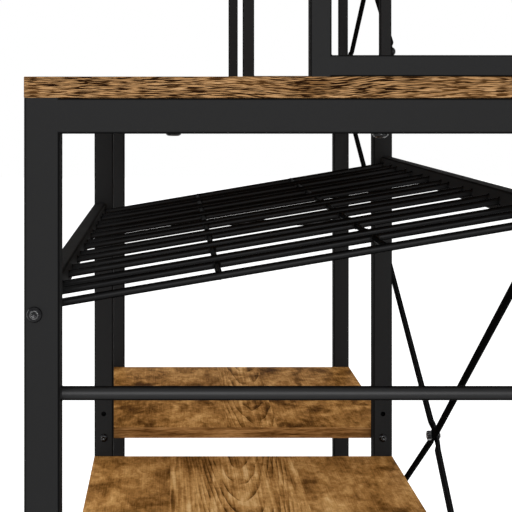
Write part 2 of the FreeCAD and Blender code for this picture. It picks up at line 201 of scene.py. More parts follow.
def mesh_of(name, shape):
    """A mesh of a shape's points and faces, with all faces turned outwards."""
    points, faces = shape
    mesh = bpy.data.meshes.new(name)
    mesh.from_pydata(points, [], faces)
    worked = bmesh.new()
    worked.from_mesh(mesh)
    bmesh.ops.recalc_face_normals(worked, faces=worked.faces)
    worked.to_mesh(mesh)
    worked.free()
    return mesh


def put_in_scene(name, data):
    """Add an object to the scene."""
    thing = bpy.data.objects.new(name, data)
    bpy.context.scene.collection.objects.link(thing)
    return thing


def take_in(name, mesh, replaced=(), body="rack"):
    """Make a mesh a piece that rides on a body and stands for the named nodes."""
    piece = put_in_scene(name, mesh)
    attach(piece, body)
    if replaced:
        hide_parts(*replaced)
    return piece


def make_piece(name, shape, material, replaced=(), body="rack"):
    """Turn a shape into a smooth piece of one material."""
    mesh = mesh_of(name, shape)
    mesh.shade_smooth()
    mesh.set_sharp_from_angle(angle=math.radians(smooth_up_to))
    mesh.materials.append(material)
    return take_in(name, mesh, replaced, body)


def rounded_outline(width, height, corner):
    """Points round a rectangle with round corners, centred on zero.

    One more point beside each end of a corner keeps the flats flat in shading.
    """
    lead = corner / 4
    stops = [(step / corner_steps, 0) for step in range(corner_steps + 1)]
    stops = [(0, lead)] + stops + [(1, -lead)]
    points = []
    for quarter, (side, rise) in enumerate(((1, 1), (-1, 1), (-1, -1), (1, -1))):
        middle_a = side * (width / 2 - corner)
        middle_b = rise * (height / 2 - corner)
        for share, slide in stops:
            turn = math.radians(90 * (quarter + share))
            points.append((middle_a + corner * math.cos(turn) + slide * math.sin(turn),
                           middle_b + corner * math.sin(turn) - slide * math.cos(turn)))
    return points


def add_tube(shape, start, end, across, rise, width, height, corner, wall):
    """An open tube between two points: its outside, then back along its inside."""
    rings = []
    for shrink, places in ((0, (start, end)), (wall, (end, start))):
        inside = max(corner - shrink, wall / 2)
        outline = rounded_outline(width - 2 * shrink, height - 2 * shrink, inside)
        for place in places:
            rings.append([place + across * a + rise * b for a, b in outline])
    add_loft(shape, rings, looped=True)


def basis(direction):
    """Two directions square to a direction and to each other."""
    helper = upright if abs(direction.z) < 0.9 else sideways
    across = direction.cross(helper).normalized()
    return across, across.cross(direction).normalized()


def ring_at(place, across, rise, radius):
    """Points round a circle."""
    turns = [2 * math.pi * side / round_sides for side in range(round_sides)]
    return [place + (across * math.cos(turn) + rise * math.sin(turn)) * radius for turn in turns]


def add_rod(shape, start, end, radius):
    """A round bar between two points."""
    across, rise = basis((end - start).normalized())
    add_loft(shape, [ring_at(place, across, rise, radius) for place in (start, end)])


def punch(piece, start, end, radius):
    """Cut one round hole through a piece, from point to point."""
    shape = ([], [])
    add_rod(shape, start, end, radius)
    drill = put_in_scene("drill", mesh_of("drill", shape))
    cut = piece.modifiers.new("hole", "BOOLEAN")
    cut.object = drill
    cut.solver = "EXACT"
    bpy.context.view_layer.update()
    seen = piece.evaluated_get(bpy.context.evaluated_depsgraph_get())
    drilled = bpy.data.meshes.new_from_object(seen)
    piece.modifiers.clear()
    piece.data = drilled
    bpy.data.meshes.remove(drill.data)


def middle_of(node):
    """The middle of a node's box."""
    low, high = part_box(node)
    return (low + high) / 2


def tube_of(name):
    """Corner radius and wall of the tube that a post or a rail is cut from."""
    if "hutch" in name:
        return hutch_corner, hutch_wall
    return base_corner, base_wall


hole_step = middle_of("left_middle_shelf").z - middle_of("right_middle_shelf").z
spare_hole_height = middle_of("left_middle_shelf").z + hole_step
for post in posts:
    low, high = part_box(post)
    middle = (low + high) / 2
    corner, wall = tube_of(post)
    bottom = Vector((middle.x, middle.y, low.z))
    top = Vector((middle.x, middle.y, high.z))
    shape = ([], [])
    add_tube(shape, bottom, top, sideways, inwards, high.x - low.x, high.y - low.y, corner, wall)
    piece = make_piece(post + "_tube", shape, powder_coat, [post])
    if post in ("middle_front_post", "middle_back_post"):
        near = Vector((low.x - wall, middle.y, spare_hole_height))
        far = Vector((high.x + wall, middle.y, spare_hole_height))
        punch(piece, near, far, bolt_hole / 2)

# Cross rails of the frames: the same tube, cut to fit between the posts, welded, and ground flush
# so that the faces of rail and post run into each other without a groove.
rails = [name for name in nodes if name.endswith("_rail")]
for rail in rails:
    low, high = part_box(rail)
    middle = (low + high) / 2
    corner, wall = tube_of(rail)
    start = Vector((middle.x, low.y - corner, middle.z))
    end = Vector((middle.x, high.y + corner, middle.z))
    shape = ([], [])
    add_tube(shape, start, end, sideways, upright, high.x - low.x, high.z - low.z, corner, wall)
    make_piece(rail + "_flush", shape, powder_coat, [rail])

# Fillet welds in the inner corners of the frames: a fine rippled bead across the width of each
# joint, left as it was laid because it faces down or inwards. The powder covers it too, and runs
# out smoother and glossier round a bead or a bar than on a flat face. Beads and bars get a lighter
# copy of the coat, which is a painted highlight.
bead_leg = 0.0007
bead_ripple = 0.0013
bead_swell = 0.1
bead_hollow = 0.22
bead_end_share = 0.3
bead_taper = 8
bead_arc_steps = 4
# A lighter copy of the powder for beads and round bars: painted highlight
rod_deep_lightened = (0.0205, 0.0205, 0.0208, 1)
rod_thin_lightened = (0.03, 0.03, 0.0304, 1)
lightened_rod_coat = coated("powder_coat_lightened_on_rods", rod_deep_lightened, rod_thin_lightened, roughness=0.42, satin=0.85,
                  pebble_size=0.0009, pebble_depth=0.00003)


def add_bead(shape, start, end, along_face, off_face):
    """A rippled fillet bead between two points, its legs along two faces that meet there."""
    run = end - start
    waves = max(2, round(run.length / bead_ripple))
    rings = []
    for step in range(2 * waves + 1):
        share = step / (2 * waves)
        to_end = min(share, 1 - share)
        leg = bead_leg * min(1, bead_taper * to_end + bead_end_share) * (1 + bead_swell * (-1) ** step)
        place = start + run * share
        ring = [place]
        for arc in range(bead_arc_steps + 1):
            turn = math.radians(90 * arc / bead_arc_steps)
            reach = leg * (1 - bead_hollow * math.sin(2 * turn))
            ring.append(place + (along_face * math.cos(turn) + off_face * math.sin(turn)) * reach)
        rings.append(ring)
    add_loft(shape, rings)


frame_welds = ([], [])
for rail in rails:
    low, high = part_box(rail)
    corner = tube_of(rail)[0]
    levels = []
    if "top" in rail or "hutch" not in rail:
        levels.append((low.z, -upright))
    if "bottom" in rail:
        levels.append((high.z, upright))
    for height, off in levels:
        for face, inward in ((low.y, inwards), (high.y, -inwards)):
            left = Vector((low.x + corner, face, height))
            right = Vector((high.x - corner, face, height))
            add_bead(frame_welds, left, right, inward, off)
make_piece("frame_welds", frame_welds, lightened_rod_coat)

# Guard rods of the end frames: 10 mm round steel bar, cut to fit between the posts and butted
# against them, with a ring of weld at each end, and coated with the frames. Their coat is the
# lighter copy, a painted highlight.
ring_weld_leg = 0.0011
ring_weld_ripples = 14
ring_weld_belly = (0.45, 0.5)
ring_weld_crown = 1.1


def add_ring_weld(shape, place, direction, radius, leg=ring_weld_leg, saddle=0.0):
    """A rippled ring of weld where a rod meets a face; the direction leads off the face.

    A saddle is the radius of a level rod in the place of a flat face, which the ring follows.
    """
    across, rise = basis(direction)
    belly_out, belly_up = ring_weld_belly
    rings = []
    for side in range(2 * ring_weld_ripples):
        turn = math.pi * side / ring_weld_ripples
        out = across * math.cos(turn) + rise * math.sin(turn)
        reach = leg * (1 + bead_swell * (-1) ** side)
        foot = place
        if saddle:
            foot = place - direction * (saddle - math.sqrt(saddle ** 2 - (radius * out.z) ** 2))
        rings.append([foot + out * (radius - leg / 2),
                      foot + out * (radius + reach),
                      foot + out * (radius + reach * belly_out) + direction * reach * belly_up,
                      foot + out * (radius - leg / 6) + direction * reach * ring_weld_crown])
    add_loft(shape, rings, looped=True)


def solids_in(node):
    """The separate solids of a grouped node, each as a list of its points."""
    worked = bmesh.new()
    worked.from_mesh(nodes[node].data)
    bmesh.ops.remove_doubles(worked, verts=worked.verts, dist=1e-6)
    solids = []
    seen = set()
    for vert in worked.verts:
        if vert in seen:
            continue
        seen.add(vert)
        front = [vert]
        found = []
        while front:
            current = front.pop()
            found.append(current.co.copy())
            for edge in current.link_edges:
                other = edge.other_vert(current)
                if other not in seen:
                    seen.add(other)
                    front.append(other)
        solids.append(found)
    worked.free()
    return solids


def box_of(points):
    """Lowest and highest corner of some points."""
    low = Vector([min(point[axis] for point in points) for axis in range(3)])
    high = Vector([max(point[axis] for point in points) for axis in range(3)])
    return low, high


for node in ("right_guard_rods", "left_guard_rods"):
    shape = ([], [])
    for solid in solids_in(node):
        low, high = box_of(solid)
        middle = (low + high) / 2
        radius = (high.z - low.z) / 2
        near = Vector((middle.x, low.y, middle.z))
        far = Vector((middle.x, high.y, middle.z))
        add_rod(shape, near, far, radius)
        add_ring_weld(shape, near, inwards, radius)
        add_ring_weld(shape, far, -inwards, radius)
    make_piece(node + "_welded", shape, lightened_rod_coat, [node])

# Levelling feet: a moulded six-sided pad with rounded corners, on a rolled M8 stud that screws into
# a flanged plastic insert in each post. Each foot moves by itself.
plastic_deep = (0.012, 0.012, 0.012, 1)
plastic_thin = (0.022, 0.022, 0.022, 1)
zinc_bright = (0.62, 0.63, 0.64, 1)
zinc_dull = (0.38, 0.39, 0.4, 1)
pad_height = 0.007
pad_corner = 0.0022
pad_softening = 0.0009
stud_start = 0.9 * pad_height
stud_reach = 0.004
stud_thread = 0.00125
stud_thread_depth = 0.0007
thread_sides = 24
thread_steps = 4


def hexagon_outline(width, corner):
    """Points round a hexagon with round corners, as wide across its flats as stated."""
    points = []
    reach = (width / 2 - corner) / math.cos(math.pi / 6)
    for side in range(6):
        heading = math.radians(30 + 60 * side)
        for step in range(corner_steps + 1):
            turn = heading + math.radians(60 * (step / corner_steps - 0.5))
            points.append((reach * math.cos(heading) + corner * math.cos(turn),
                           reach * math.sin(heading) + corner * math.sin(turn)))
    return points


def add_thread(shape, start, direction, run, radius, pitch, depth):
    """A threaded bar: its skin is one helix that winds from end to end, closed by two caps."""
    across, rise = basis(direction)
    rings = []
    for step in range(int(run / pitch) * thread_steps + 1):
        height = step / thread_steps * pitch
        ring = []
        for side in range(thread_sides):
            turn = 2 * math.pi * side / thread_sides
            wave = abs(((height / pitch + side / thread_sides) % 1) * 2 - 1)
            out = across * math.cos(turn) + rise * math.sin(turn)
            ring.append(start + direction * height + out * (radius - depth * wave))
        rings.append(ring)
    add_loft(shape, rings)


def plated(name, bright, dull, roughness):
    """Zinc plate: pale metal with a cloudy, slightly dulled surface."""
    material, tree, surface = new_material(name)
    surface["Metallic"].default_value = 1.0
    grain = placed_group(tree, pebble, {"Pebble size": 0.0003, "Cloud size": 0.003})
    tree.links.new(blended(tree, grain["Cloud"], bright, dull), surface["Base Color"])
    gloss = sums(tree, "MULTIPLY_ADD", grain["Cloud"], 0.2, roughness - 0.1)
    tree.links.new(gloss, surface["Roughness"])
    return material


def dress(node, material):
    """Give a carried-over piece its finish."""
    nodes[node].data.materials.clear()
    nodes[node].data.materials.append(material)


black_plastic = coated("black_plastic", plastic_deep, plastic_thin, roughness=0.55, satin=0.3,
                       pebble_size=0.0005, pebble_depth=0.00004)
zinc_plate = plated("zinc_plate", zinc_bright, zinc_dull, roughness=0.38)
pad_profile = (
    (0, 2 * pad_softening),
    (pad_softening, pad_softening),
    (2 * pad_softening, 0),
    (pad_height - 2 * pad_softening, 0),
    (pad_height - pad_softening / 2, pad_softening / 2),
    (pad_height, 2 * pad_softening),
)
for foot in [name for name in nodes if name.endswith("_foot")]:
    low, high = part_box(foot)
    middle = Vector(((low.x + high.x) / 2, (low.y + high.y) / 2, low.z))
    width = min(high.x - low.x, high.y - low.y)
    rings = []
    for height, inset in pad_profile:
        outline = hexagon_outline(width - 2 * inset, pad_corner)
        rings.append([middle + Vector((a, b, height)) for a, b in outline])
    pad = ([], [])
    add_loft(pad, rings)
    make_piece(foot + "_pad", pad, black_plastic, [foot], body=foot)
    stud = ([], [])
    add_thread(stud, middle + upright * stud_start, upright, high.z - low.z - pad_height,
               stud_reach, stud_thread, stud_thread_depth)
    make_piece(foot + "_stud", stud, zinc_plate, body=foot)
dress("post_inserts", black_plastic)

# Boards: 15 mm particle board in a wood-print foil, three printed planks wide, with the edges
# banded in a print of their own. The edges are softened only as far as the foil bends.
boards = ["worktop", "hutch_top"] + [name for name in nodes if name.endswith("_shelf")]
board_bevel = 0.0007
board_smooth_up_to = 20
# Dark brown along the edges of the boards: painted shade
foil_edge_shade = (0.05, 0.025, 0.01, 1)
foil_edge_shade_width = 0.0008
foil_roughness = 0.5
# The share of the depth at which each printed plank ends, from the front, and what it shows: how
# light it is, how much of its grain is arched, and how blotchy it is
plank_looks = {
    "right_middle_shelf": (
        (0.255, (0.46, 0.05, 0.7)), (0.665, (0.6, 1.0, 0.25)), (1.0, (0.53, 0.05, 0.8))),
    "left_middle_shelf": (
        (0.45, (0.44, 0.1, 0.9)), (0.62, (0.5, 0.7, 0.7)), (1.0, (0.45, 0.1, 1.0))),
}
usual_planks = ((0.30, (0.46, 0.3, 0.6)), (0.66, (0.55, 0.9, 0.35)), (1.0, (0.49, 0.2, 0.8)))
# How far the print slips from one face to the next, and how the sheets of print are counted
print_slip = 0.37
face_sheets = 7
edge_sheets = 3
first_long_edge_sheet = 40


def streaks(tree, place, scale, detail, roughness=0.5, distortion=0.0):
    """Noise drawn out along the grain, its scale stated along, across and through."""
    drawn = shader_node(tree, "VectorMath", {0: place, 1: scale}, operation="MULTIPLY")
    return shader_node(tree, "TexNoise", {
        "Vector": drawn.outputs[0], "Scale": 1.0, "Detail": detail, "Roughness": roughness,
        "Distortion": distortion}).outputs[0]


def between(tree, value, start, end):
    """How far a value lies between two others, from none to all, with soft ends."""
    return shader_node(tree, "MapRange", {"Value": value, "From Min": start, "From Max": end},
                       interpolation_type="SMOOTHSTEP").outputs[0]


def varied(tree, value, pattern, weight):
    """Move a value up and down by a pattern, evenly round its middle."""
    return sums(tree, "MULTIPLY_ADD", sums(tree, "SUBTRACT", pattern, 0.5), weight, value)


def toned(tree, value, stops):
    """Colours along a scale of tones."""
    ramp = shader_node(tree, "ValToRGB", {0: value})
    elements = ramp.color_ramp.elements
    while len(elements) < len(stops):
        elements.new(0.5)
    for element, (position, colour) in zip(elements, stops):
        element.position = position
        element.color = (*colour, 1)
    return ramp.outputs[0]


def knot_distance(tree, along, across, knot, stretch):
    """How far a point of the print is from its knot, in radii of a knot drawn out along the grain."""
    knot_along, knot_across, knot_radius = shader_node(tree, "SeparateXYZ", {0: knot}).outputs
    off_along = sums(tree, "DIVIDE", sums(tree, "SUBTRACT", along, knot_along), stretch)
    off_across = sums(tree, "SUBTRACT", across, knot_across)
    squares = sums(tree, "ADD", sums(tree, "POWER", off_along, 2.0), sums(tree, "POWER", off_across, 2.0))
    return sums(tree, "DIVIDE", sums(tree, "SQRT", squares), knot_radius)


# The print on the faces: late-wood lines that arch round a heart, over patches, blots and mottle
board_tones = (
    (0.0, (0.060, 0.023, 0.005)),
    (0.25, (0.165, 0.071, 0.015)),
    (0.5, (0.375, 0.180, 0.050)),
    (0.75, (0.620, 0.345, 0.118)),
    (1.0, (0.820, 0.540, 0.250)),
)
heart_offset = 0.01
rings_per_metre = 13.0
ring_bend = 2000.0
ring_sway = 3.6
board_print, given, result = shader_group(
    "board_print", {"Place": (0, 0, 0), "Look": (0.5, 0.5, 0.5), "Knot": (0, 0, 0)},
    {"Color": "Color", "Height": "Float", "Gloss": "Float"})
place = given["Place"]
along, across, sheet = shader_node(board_print, "SeparateXYZ", {0: place}).outputs
tone, arched, blotched = shader_node(board_print, "SeparateXYZ", {0: given["Look"]}).outputs
off_knot = knot_distance(board_print, along, across, given["Knot"], stretch=12.0)
core = between(board_print, off_knot, 1.0, 0.35)
sway = streaks(board_print, place, (3, 14, 1), detail=3.0)
off_heart = sums(board_print, "ABSOLUTE", sums(board_print, "SUBTRACT", across, heart_offset))
arch = sums(board_print, "MULTIPLY_ADD", sums(board_print, "POWER", off_heart, 2.0), ring_bend,
            sums(board_print, "MULTIPLY", along, rings_per_metre))
ring = sums(board_print, "FRACT", sums(board_print, "MULTIPLY_ADD", sway, ring_sway, arch))
gaps = streaks(board_print, place, (9, 40, 11), detail=2.0)
broken = between(board_print, gaps, 0.36, 0.6)
fading = between(board_print, off_heart, 0.085, 0.03)
late_wood = sums(board_print, "MULTIPLY", sums(board_print, "POWER", ring, 2.6),
                 sums(board_print, "MULTIPLY", broken, fading))
heart = sums(board_print, "MULTIPLY", between(board_print, off_heart, 0.045, 0.01), arched)
lines = streaks(board_print, place, (6, 190, 4), detail=2.0, roughness=0.55)
patches = streaks(board_print, place, (8, 13, 1), detail=2.0, distortion=0.4)
blots = streaks(board_print, place, (24, 36, 3), detail=3.0, roughness=0.55, distortion=0.8)
mottle = streaks(board_print, place, (80, 130, 5), detail=5.0, roughness=0.75)
fine = streaks(board_print, place, (22, 700, 7), detail=2.0, roughness=0.6)
smears = streaks(board_print, place, (13, 23, 9), detail=2.0, distortion=0.5)
smudge = between(board_print, smears, 0.52, 0.7)
value = tone
for pattern, weight in (
        (patches, 0.85),
        (blots, sums(board_print, "MULTIPLY_ADD", blotched, 0.6, 0.5)),
        (mottle, 0.9),
        (fine, 0.4),
        (lines, sums(board_print, "MULTIPLY", arched, 1.2))):
    value = varied(board_print, value, pattern, weight)
for mark, weight in (
        (sums(board_print, "MULTIPLY", late_wood, arched), -0.65),
        (heart, 0.12),
        (sums(board_print, "MULTIPLY", smudge, blotched), -0.3),
        (core, -0.45)):
    value = sums(board_print, "MULTIPLY_ADD", mark, weight, value)
board_print.links.new(toned(board_print, value, board_tones), result["Color"])
board_print.links.new(fine, result["Height"])
board_print.links.new(value, result["Gloss"])

# The print on the edge bands: straight streaks with hairline pores, which bend round a knot
band_tones = (
    (0.0, (0.012, 0.005, 0.002)),
    (0.25, (0.075, 0.032, 0.009)),
    (0.5, (0.200, 0.102, 0.038)),
    (0.75, (0.340, 0.190, 0.082)),
    (1.0, (0.520, 0.335, 0.178)),
)
knot_swerve = 0.004
pore_depth = -0.8
band_print, given, result = shader_group(
    "band_print",
    {"Place": (0, 0, 0), "Knot": (0, 0, 0), "Tone": 0.74, "Pores": 1.0, "Streaks": 0.3,
     "Stain": (1, 1, 1)},
    {"Color": "Color", "Height": "Float", "Gloss": "Float"})
along, across, sheet = shader_node(band_print, "SeparateXYZ", {0: given["Place"]}).outputs
off_knot = knot_distance(band_print, along, across, given["Knot"], stretch=1.6)
core = between(band_print, off_knot, 1.0, 0.35)
halo = between(band_print, off_knot, 3.5, 0.5)
swerved = sums(band_print, "MULTIPLY_ADD", halo, knot_swerve, across)
bent = shader_node(band_print, "CombineXYZ", {0: along, 1: swerved, 2: sheet}).outputs[0]
light = streaks(band_print, bent, (45, 1100, 3), detail=3.0, roughness=0.6)
broad = streaks(band_print, bent, (13, 230, 12), detail=2.0, roughness=0.6)
patch = streaks(band_print, bent, (11, 45, 5), detail=2.0)
value = given["Tone"]
for pattern, weight in ((light, 0.7), (broad, given["Streaks"]), (patch, 0.3)):
    value = varied(band_print, value, pattern, weight)
pores = 0.0
for scale in ((60, 1600, 1), (95, 1900, 6), (80, 1450, 15)):
    hairlines = between(band_print, streaks(band_print, bent, scale, detail=0.3), 0.46, 0.37)
    pores = sums(band_print, "MAXIMUM", hairlines, pores)
dense = between(band_print, streaks(band_print, bent, (16, 110, 9), detail=1.0), 0.38, 0.6)
crowding = sums(band_print, "MULTIPLY_ADD", dense, 0.25, 0.75)
pore_share = sums(band_print, "MULTIPLY", crowding, given["Pores"])
pored = sums(band_print, "MULTIPLY", pores, pore_share)
value = sums(band_print, "MULTIPLY_ADD", pored, pore_depth, value)
value = sums(band_print, "MULTIPLY_ADD", core, -0.2, value)
# A tint over the print; on the shelf bands it is partly painted shade
tinted = shader_node(band_print, "VectorMath", {
    0: toned(band_print, value, band_tones), 1: given["Stain"]}, operation="MULTIPLY")
band_print.links.new(tinted.outputs[0], result["Color"])
band_print.links.new(light, result["Height"])
band_print.links.new(value, result["Gloss"])


def printed(name, group, knot, **print_values):
    """A printed foil: the print's colour, painted shade along its edges, a faint relief in its pores and an
    uneven satin.
    """
    material, tree, surface = new_material(name)
    surface["Specular IOR Level"].default_value = 0.002
    spot = shader_node(tree, "Attribute", attribute_name="print_place").outputs["Vector"]
    inputs = {"Knot": knot, "Place": spot, **print_values}
    if group == board_print:
        inputs["Look"] = shader_node(tree, "Attribute", attribute_name="print_look").outputs["Vector"]
    foil = placed_group(tree, group, inputs)
    edges = placed_group(tree, edge_line, {"Width": foil_edge_shade_width})
    # Painted shade: the foil darkens towards dark brown along every edge
    edge_shade = sums(tree, "MULTIPLY", edges["Mask"], 0.6)
    tree.links.new(blended(tree, edge_shade, foil["Color"], foil_edge_shade), surface["Base Color"])
    gloss = sums(tree, "MULTIPLY_ADD", foil["Gloss"], -0.12, foil_roughness + 0.06)
    tree.links.new(gloss, surface["Roughness"])
    relief = shader_node(tree, "Bump", {"Height": foil["Height"], "Strength": 0.25, "Distance": 0.0001})
    tree.links.new(relief.outputs[0], surface["Normal"])
    return material


# A knot is stated by its place along and across the print and by its radius
no_knot = (90, 90, 0.01)
shelf_knot = (-0.005, -0.0785, 0.0045)
worktop_knot = (-0.012, 0.0, 0.011)
board_face = printed("board_face", board_print, no_knot)
# The bands of the shelves and the hutch top: the print made darker and redder, partly as painted shade on
# the shelf ends under the worktop
board_band = printed("board_band", band_print, no_knot, Tone=0.61, Pores=0.25, Streaks=1.1,
                     Stain=(1.0, 0.9, 0.72))
knotty_face = printed("knotty_board_face", board_print, shelf_knot)
knotty_band = printed("knotty_board_band", band_print, worktop_knot, Tone=0.73, Pores=1.0, Streaks=0.3)

for number, board in enumerate(boards):
    low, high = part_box(board)
    size = high - low
    worked = bmesh.new()
    bmesh.ops.create_cube(worked, size=1)
    for vert in worked.verts:
        vert.co = Vector([low[axis] + (vert.co[axis] + 0.5) * size[axis] for axis in range(3)])
    bmesh.ops.bevel(worked, geom=worked.edges[:], offset=board_bevel, segments=3, profile=0.5,
                    affect="EDGES")
    planks = plank_looks.get(board, usual_planks)
    seams = [low.y] + [low.y + share * size.y for share, look in planks]
    for seam in seams[1:-1]:
        bmesh.ops.bisect_plane(worked, geom=worked.verts[:] + worked.edges[:] + worked.faces[:],
                               plane_co=(0, seam, 0), plane_no=(0, 1, 0))
    mesh = bpy.data.meshes.new(board + "_foil")
    worked.to_mesh(mesh)
    worked.free()
    mesh.shade_smooth()
    mesh.set_sharp_from_angle(angle=math.radians(board_smooth_up_to))
    mesh.materials.append(knotty_face if board == "right_middle_shelf" else board_face)
    mesh.materials.append(knotty_band if board == "worktop" else board_band)
    looks = []
    spots = []
    for face in mesh.polygons:
        steep = [abs(part) for part in face.normal]
        side = steep.index(max(steep))
        face.material_index = 0 if side == 2 else 1
        strip = sum(face.center.y > seam for seam in seams[1:-1])
        middle = Vector((0, (seams[strip] + seams[strip + 1]) / 2, (low.z + high.z) / 2))
        layer = number * face_sheets + strip * 2 + (face.normal[side] > 0)
        shift = 0 if board in plank_looks else layer * print_slip
        edge_sheet = number * edge_sheets + (face.normal[side] > 0)
        for corner in face.loop_indices:
            point = mesh.vertices[mesh.loops[corner].vertex_index].co
            off = point - middle
            if side == 2:
                spots.extend((point.x + shift, off.y, layer))
            elif side == 0:
                spots.extend((point.y, off.z, edge_sheet))
            else:
                spots.extend((point.x, off.z, edge_sheet + first_long_edge_sheet))
            looks.extend(planks[strip][1])
    mesh.attributes.new("print_place", "FLOAT_VECTOR", "CORNER").data.foreach_set("vector", spots)
    mesh.attributes.new("print_look", "FLOAT_VECTOR", "CORNER").data.foreach_set("vector", looks)
    take_in(board + "_foil", mesh, [board])

# Bottle rack: two rectangular tubes with pairs of 6 mm rods welded between them, sloping down to
# the front, and short rods welded across each pair. The welds are left as they were laid. The slim
# rods get a darker copy of the coat, nearly black, which is painted shade.
rack_corner = 0.0024
rack_wall = 0.001
rack_rod_radius = 0.003
rod_weld_leg = 0.001
rod_end_sunk = 0.25
cross_rod_sunk = 0.6
# A darker copy of the powder for the rack rods and the braces: painted shade
slim_deep_shaded = (0.009, 0.009, 0.0092, 1)
slim_thin_shaded = (0.0135, 0.0135, 0.0137, 1)
shaded_slim_rod_coat = coated("powder_coat_shaded_on_slim_rods", slim_deep_shaded, slim_thin_shaded, roughness=0.4, satin=0.85,
                       pebble_size=0.0009, pebble_depth=0.00003)

for tube in ("rack_front_tube", "rack_back_tube"):
    low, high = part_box(tube)
    middle = (low + high) / 2
    start = Vector((low.x, middle.y, middle.z))
    end = Vector((high.x, middle.y, middle.z))
    shape = ([], [])
    add_tube(shape, start, end, inwards, upright, high.y - low.y, high.z - low.z, rack_corner, rack_wall)
    make_piece(tube + "_smooth", shape, powder_coat, [tube])

front_low, front_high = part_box("rack_front_tube")
back_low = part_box("rack_back_tube")[0]
rack_slope = Vector((0, back_low.y - front_high.y, back_low.z - front_low.z))
rack_lean = rack_slope.normalized()
rods = ([], [])
for solid in solids_in("rack_rods"):
    low, high = box_of(solid)
    radius = (high.x - low.x) / 2
    near = Vector(((low.x + high.x) / 2, low.y, (front_low.z + front_high.z) / 2))
    far = near + rack_slope
    sunk = rack_lean * radius * rod_end_sunk
    add_rod(rods, near - sunk, far + sunk, radius)
    add_ring_weld(rods, near, inwards, radius, rod_weld_leg)
    add_ring_weld(rods, far, -inwards, radius, rod_weld_leg)
make_piece("rack_rods_welded", rods, shaded_slim_rod_coat, ["rack_rods"])

cross_rods = ([], [])
for solid in solids_in("rack_cross_rods"):
    low, high = box_of(solid)
    middle = (low + high) / 2
    radius = (high.z - low.z) / 2
    left = Vector((low.x, middle.y, middle.z))
    right = Vector((high.x, middle.y, middle.z))
    sunk = sideways * radius * cross_rod_sunk
    add_rod(cross_rods, left - sunk, right + sunk, radius)
    add_ring_weld(cross_rods, left, sideways, radius, rod_weld_leg, rack_rod_radius)
    add_ring_weld(cross_rods, right, -sideways, radius, rod_weld_leg, rack_rod_radius)
make_piece("rack_cross_rods_welded", cross_rods, shaded_slim_rod_coat, ["rack_cross_rods"])

# Cross braces behind the rack: steel rod pressed flat at its ends and at the crossing, punched there
# for the bolts, and coated black with the darker copy of the coat, which is painted shade. The long
# rods of the base bow out behind the posts.
brace_stock = 0.0075
brace_clear = 0.0003
brace_flat_width = 0.012
brace_flat_thickness = 0.0028
brace_flat_past = 0.005
brace_press_run = 0.012
brace_eye_run = 0.024
brace_tip_share = 0.12
brace_points = 20
brace_round = 2.0
brace_square = 7.0
bolt_search = 0.001
press_steps = 8


def brace_ring(start, direction, rise, place, near, far, width, square):
    """One section of a brace, from round stock to pressed flat."""
    ring = []
    for step in range(brace_points):
        turn = 2 * math.pi * (step + 0.5) / brace_points
        out = math.copysign(abs(math.cos(turn)) ** (2 / square), math.cos(turn))
        up = math.copysign(abs(math.sin(turn)) ** (2 / square), math.sin(turn))
        ring.append(start + direction * place + rise * (up * width / 2)
                    + inwards * ((near + far) / 2 + out * (far - near) / 2))
    return ring


def brace_stations(half, flat, eye_near, bow):
    """Places along half a brace, each with its section: near side, far side, width, squareness."""
    tab = (0, brace_flat_thickness, brace_flat_width, brace_square)
    stock = (brace_clear, brace_clear + brace_stock, brace_stock, brace_round)
    bowed = (bow + brace_clear, bow + brace_clear + brace_stock, brace_stock, brace_round)
    eye = (bow + eye_near, bow + eye_near + brace_stock / 2, brace_flat_width, brace_square)
    stations = []
    tip = brace_flat_width / 2
    for step in range(press_steps):
        turn = math.pi / 2 * step / press_steps
        width = max(brace_tip_share, math.sin(turn)) * brace_flat_width
        stations.append((-tip * math.cos(turn), 0, brace_flat_thickness, width, brace_square))
    stations.append((0, *tab))
    eye_press = half - brace_eye_run / 2 - brace_press_run
    for place, before, after in ((flat, tab, stock), (eye_press, bowed, eye)):
        for step in range(press_steps + 1):
            share = step / press_steps
            ease = share * share * (3 - 2 * share)
            section = [first + (second - first) * ease for first, second in zip(before, after)]
            stations.append((place + share * brace_press_run, *section))
    stations.append((half, *eye))
    return stations


for pair, post in (("base_brace", "left_back_post"), ("hutch_brace", "left_hutch_back_post")):
    post_low, post_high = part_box(post)
    low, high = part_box(pair + "_front_rod")
    bow = high.y - post_high.y - brace_clear - brace_stock
    middles = []
    for solid in solids_in("brace_bolts"):
        bolt_low, bolt_high = box_of(solid)
        if low.z - bolt_search < bolt_low.z and bolt_high.z < high.z + bolt_search:
            middles.append((bolt_low + bolt_high) / 2)
    left = min(middle.x for middle in middles)
    right = max(middle.x for middle in middles)
    bottom = min(middle.z for middle in middles)
    top = max(middle.z for middle in middles)
    for rod, left_height, right_height, eye_near in (
            ("_front_rod", bottom, top, brace_clear),
            ("_rear_rod", top, bottom, brace_clear + brace_stock / 2)):
        start = Vector((left, post_high.y, left_height))
        end = Vector((right, post_high.y, right_height))
        direction = (end - start).normalized()
        rise = direction.cross(inwards)
        run = (end - start).length
        flat = (post_high.x - post_low.x) / 2 / direction.x + brace_flat_past
        half = brace_stations(run / 2, flat, eye_near, bow)
        there = [brace_ring(start, direction, rise, *station) for station in half]
        back = [brace_ring(start, direction, rise, run - place, *rest) for place, *rest in half[-2::-1]]
        shape = ([], [])
        add_loft(shape, there + back)
        make_piece(pair + rod + "_pressed", shape, shaded_slim_rod_coat, [pair + rod])

